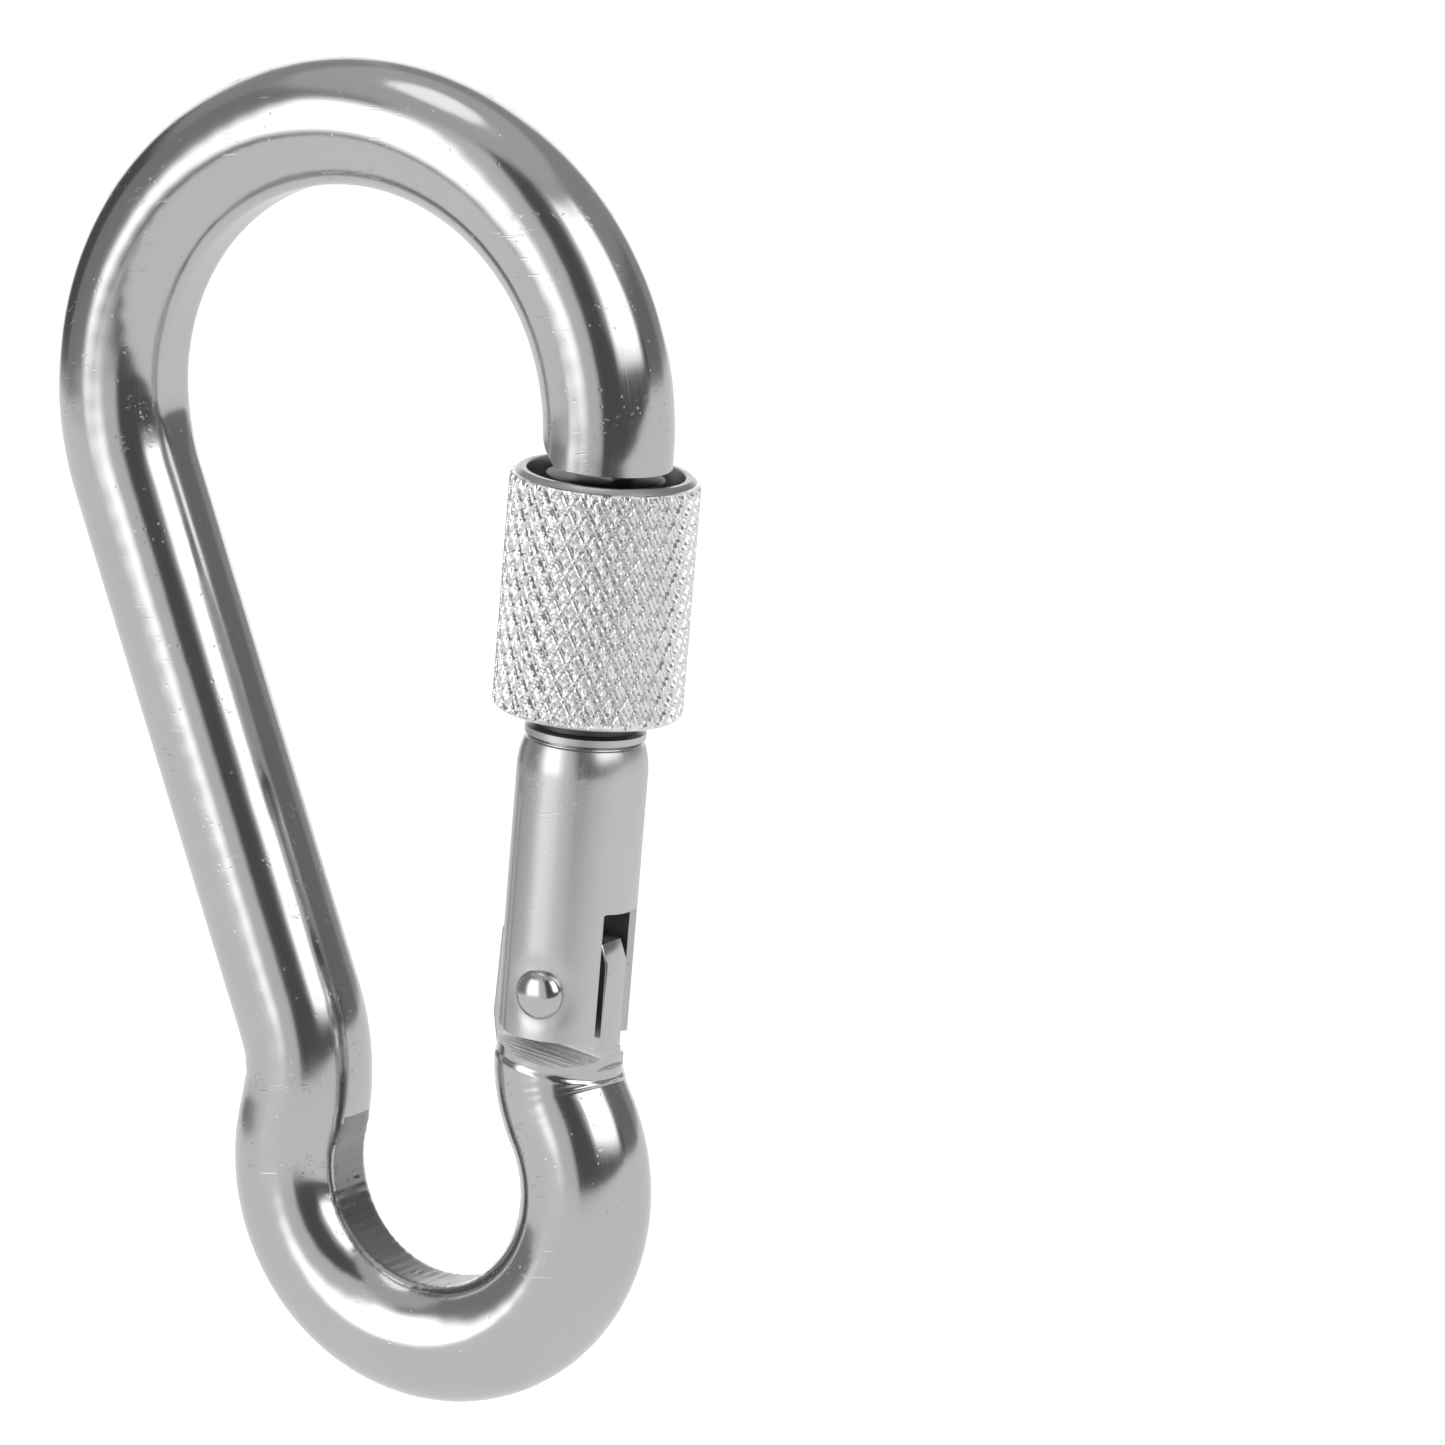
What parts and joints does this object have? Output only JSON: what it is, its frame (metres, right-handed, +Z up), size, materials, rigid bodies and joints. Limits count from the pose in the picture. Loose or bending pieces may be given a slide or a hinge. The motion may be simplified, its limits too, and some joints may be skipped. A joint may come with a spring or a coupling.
{
  "type": "screw-lock snap hook",
  "caption": "Key-size carabiner bent from round bar, with a wide bow, a small eye, a spring gate on a riveted hinge and a knurled screw lock.",
  "frame": {"origin": "inner crown of the wide bow, on the bar's mid plane, where the hook hangs from a ring or rail", "axes": "+Z up along the long axis towards the wide bow, +X towards the gate, +Y through the hook's flat side"},
  "size_m": [0.0418, 0.0112, 0.0799],
  "materials": {
    "polished_steel": "polished stainless steel with fine wear scratches",
    "knurled_steel": "bright satin diamond knurl",
    "rivet_steel": "polished domed heads",
    "inner_steel": "plain drawn steel"
  },
  "bodies": {
    "hook": {"hook_body": "polished_steel"},
    "gate": {"gate": "polished_steel", "hinge_rivet": "rivet_steel", "gate_spring": "inner_steel"},
    "nut": {"lock_nut": "knurled_steel"},
    "plunger": {"spring_plunger": "inner_steel"}
  },
  "joints": [
    {"name": "gate_hinge", "type": "hinge", "parent": "hook", "child": "gate", "pos_m": [0.01023, 0, -0.04719], "axis": [0, -1, 0], "range_deg": [0, 25], "stiffness_Nm_per_rad": 0.1, "springref_deg": -34.38},
    {"name": "nut_travel", "type": "slide", "parent": "gate", "child": "nut", "axis": [0.2028, 0, 0.9792], "range_m": [0, 0.005]},
    {"name": "plunger_slide", "type": "slide", "parent": "gate", "child": "plunger", "axis": [0.2028, 0, 0.9792], "range_m": [0, 0.00102], "deforming": ["gate_spring"]}
  ],
  "couplings": [
    {"joint": "plunger_slide", "follows": "gate_hinge", "m_per_rad": 0.0023}
  ]
}
